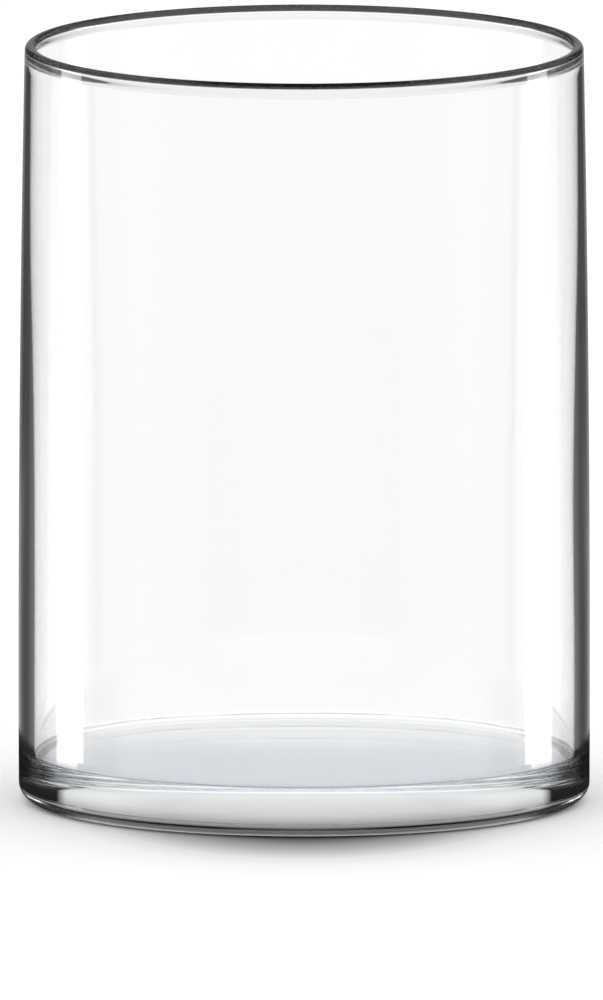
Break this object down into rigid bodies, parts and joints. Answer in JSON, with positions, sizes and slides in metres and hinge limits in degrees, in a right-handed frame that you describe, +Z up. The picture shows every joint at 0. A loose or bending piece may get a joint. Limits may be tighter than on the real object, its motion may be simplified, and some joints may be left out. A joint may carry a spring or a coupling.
{
  "type": "vase",
  "caption": "Tall round clear-glass vase, nearly straight sided, with a thick flat base, thin wall and rounded rim, for cut flowers.",
  "frame": {"origin": "centre of the foot, on the surface that the vase stands on", "axes": "+Z up along the vase's axis, towards the mouth; X and Y are any two level directions, because the vase is round"},
  "size_m": [0.1524, 0.1524, 0.203],
  "materials": {
    "clear_glass": "polished"
  },
  "bodies": {
    "root": {"vase_body": "clear_glass"}
  },
  "joints": []
}
